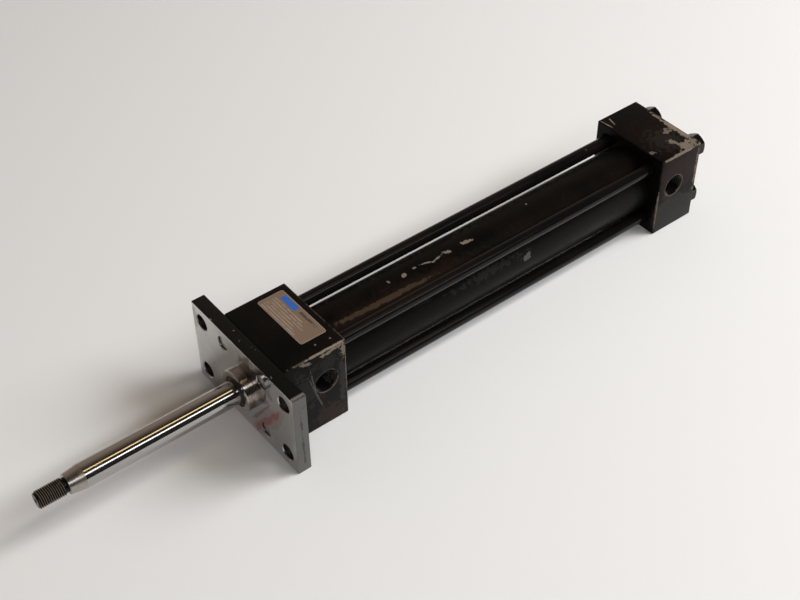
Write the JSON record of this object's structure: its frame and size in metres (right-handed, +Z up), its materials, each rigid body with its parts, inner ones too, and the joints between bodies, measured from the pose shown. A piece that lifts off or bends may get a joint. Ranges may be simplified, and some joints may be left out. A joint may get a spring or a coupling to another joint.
{
  "type": "hydraulic cylinder",
  "caption": "Double-acting tie-rod hydraulic cylinder with a rectangular head flange, a chromed rod with a threaded end, square end blocks and side ports.",
  "frame": {"origin": "centre of the mounting flange's front face, on the cylinder's axis", "axes": "+X out along the rod, +Z up through the nameplate, ports open towards +Y"},
  "size_m": [0.5128, 0.108, 0.064],
  "materials": {
    "ground_steel": "ground bare steel, lightly stained",
    "turned_steel": "turned bare steel",
    "black_paint": "semi-gloss black paint, chipped on the edges",
    "black_oxide_steel": "black oxide on steel",
    "hard_chrome": "ground and polished hard chrome",
    "bearing_bronze": "machined bronze",
    "piston_iron": "machined ductile iron",
    "seal_rubber": "moulded nitrile rubber",
    "seal_polyurethane": "moulded polyurethane",
    "white_ptfe": "machined PTFE",
    "wear_ring_nylon": "filled nylon",
    "plate_aluminium": "satin foil plate"
  },
  "bodies": {
    "barrel": {"mounting_flange": "ground_steel", "head": "black_paint", "cap": "black_paint", "cylinder_tube": "black_paint", "head_tube_seal": "seal_rubber", "cap_tube_seal": "seal_rubber", "tie_rod_1": "black_oxide_steel", "tie_rod_2": "black_oxide_steel", "tie_rod_3": "black_oxide_steel", "tie_rod_4": "black_oxide_steel", "tie_rod_nut_1": "black_oxide_steel", "tie_rod_nut_2": "black_oxide_steel", "tie_rod_nut_3": "black_oxide_steel", "tie_rod_nut_4": "black_oxide_steel", "gland": "turned_steel", "rod_bearing": "bearing_bronze", "rod_seal": "seal_polyurethane", "rod_wiper": "seal_rubber", "gland_o_ring": "seal_rubber", "gland_backup_ring": "white_ptfe", "nameplate": "plate_aluminium"},
    "piston_rings": {"piston_seal_front": "seal_polyurethane", "piston_seal_rear": "seal_polyurethane", "piston_wear_ring": "wear_ring_nylon"},
    "rod": {"piston_rod": "hard_chrome", "piston": "piston_iron", "piston_stud_seal": "seal_rubber", "piston_lock_nut": "black_oxide_steel"}
  },
  "joints": [
    {"name": "rod_slide", "type": "slide", "parent": "barrel", "child": "piston_rings", "axis": [1, 0, 0], "range_m": [-0.1048, 0.13015]},
    {"name": "rod_spin", "type": "hinge", "parent": "piston_rings", "child": "rod", "pos_m": [0, 0, 0], "axis": [1, 0, 0], "continuous": true}
  ]
}
